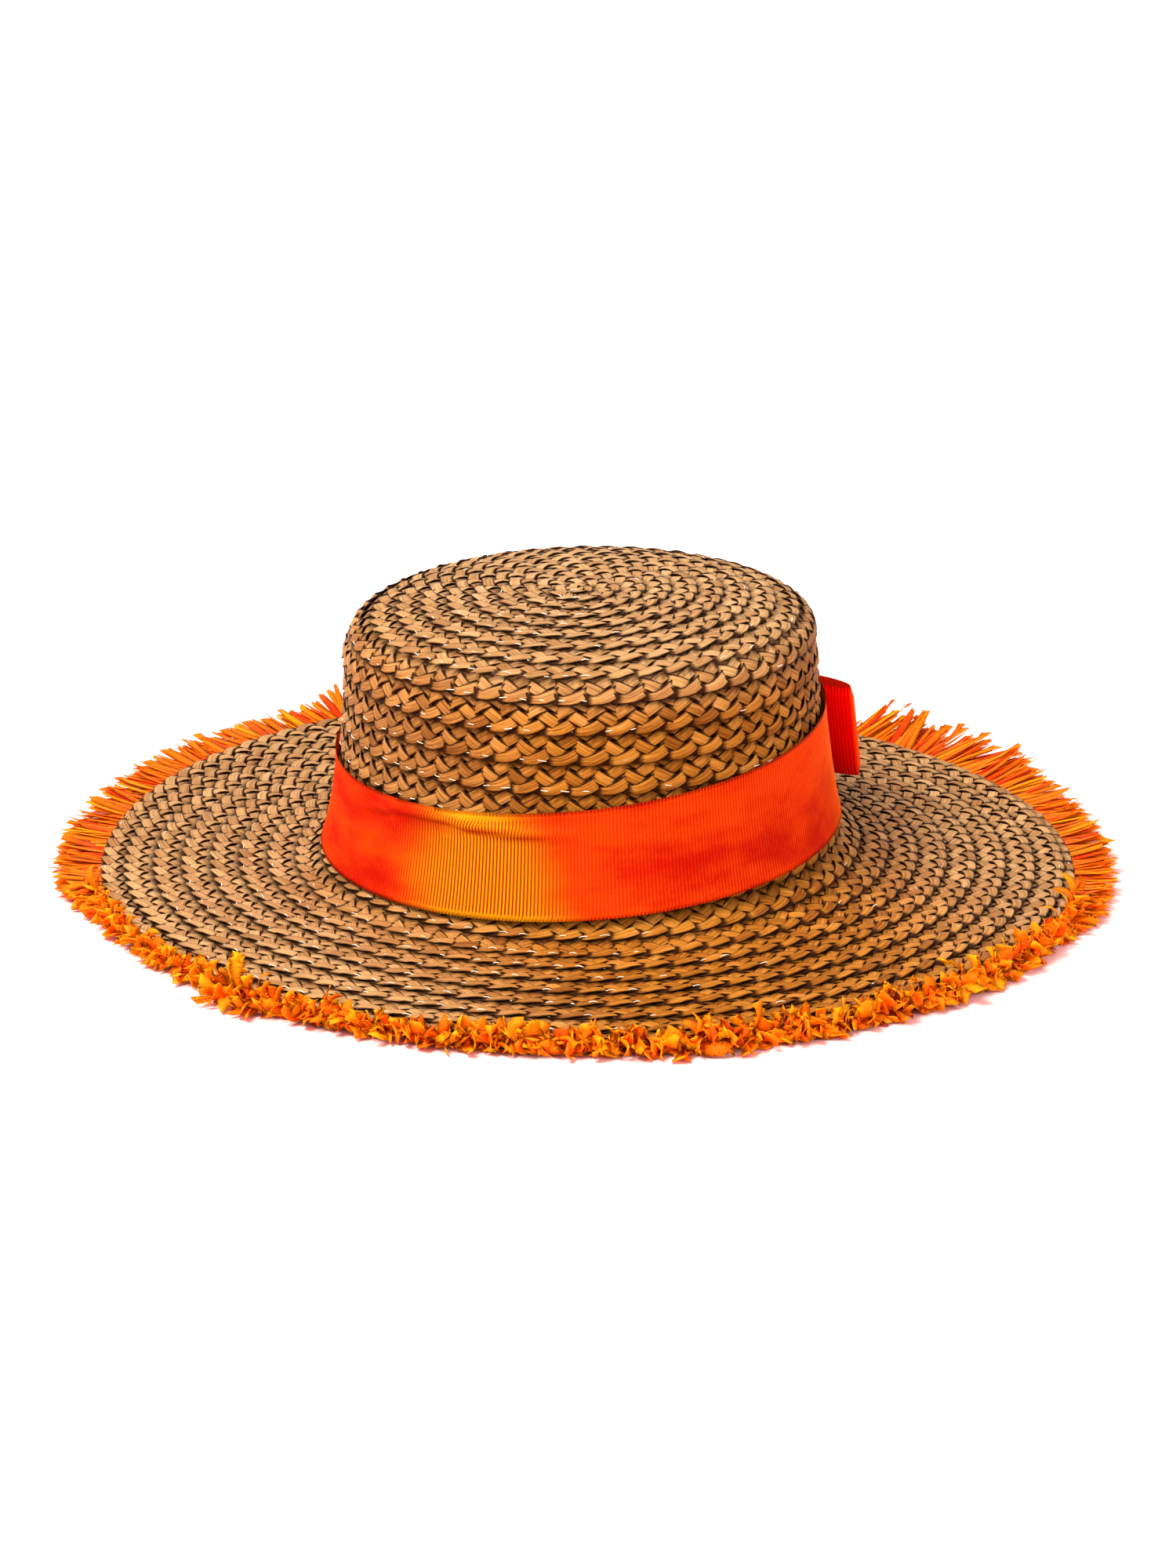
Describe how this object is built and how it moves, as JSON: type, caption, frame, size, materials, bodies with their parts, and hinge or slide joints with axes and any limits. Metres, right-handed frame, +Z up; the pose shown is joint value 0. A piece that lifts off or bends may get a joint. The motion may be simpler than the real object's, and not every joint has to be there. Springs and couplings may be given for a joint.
{
  "type": "boater hat",
  "caption": "Wide-brimmed boater hat of sewn straw plait with a flat crown, a ribbon band, a flat side bow and a fringed brim edge, hollow for the head.",
  "frame": {"origin": "on the surface under the middle of the hat's bounding box", "axes": "+Z up, -Y to the front of the hat, +X to the wearer's left, where the bow is"},
  "size_m": [0.37, 0.3992, 0.103],
  "materials": {
    "straw_plait": "matt brown paper-straw plait with a faint fibre sheen",
    "grosgrain_ribbon": "orange-red grosgrain with fine ribs and a soft sheen",
    "raffia_fringe": "orange raffia strips, satin"
  },
  "bodies": {
    "root": {"crown_tip": "straw_plait", "crown_side": "straw_plait", "brim": "straw_plait", "fringe": "raffia_fringe", "ribbon_band": "grosgrain_ribbon", "bow_front_loop": "grosgrain_ribbon", "bow_back_loop": "grosgrain_ribbon", "bow_knot": "grosgrain_ribbon"}
  },
  "joints": []
}
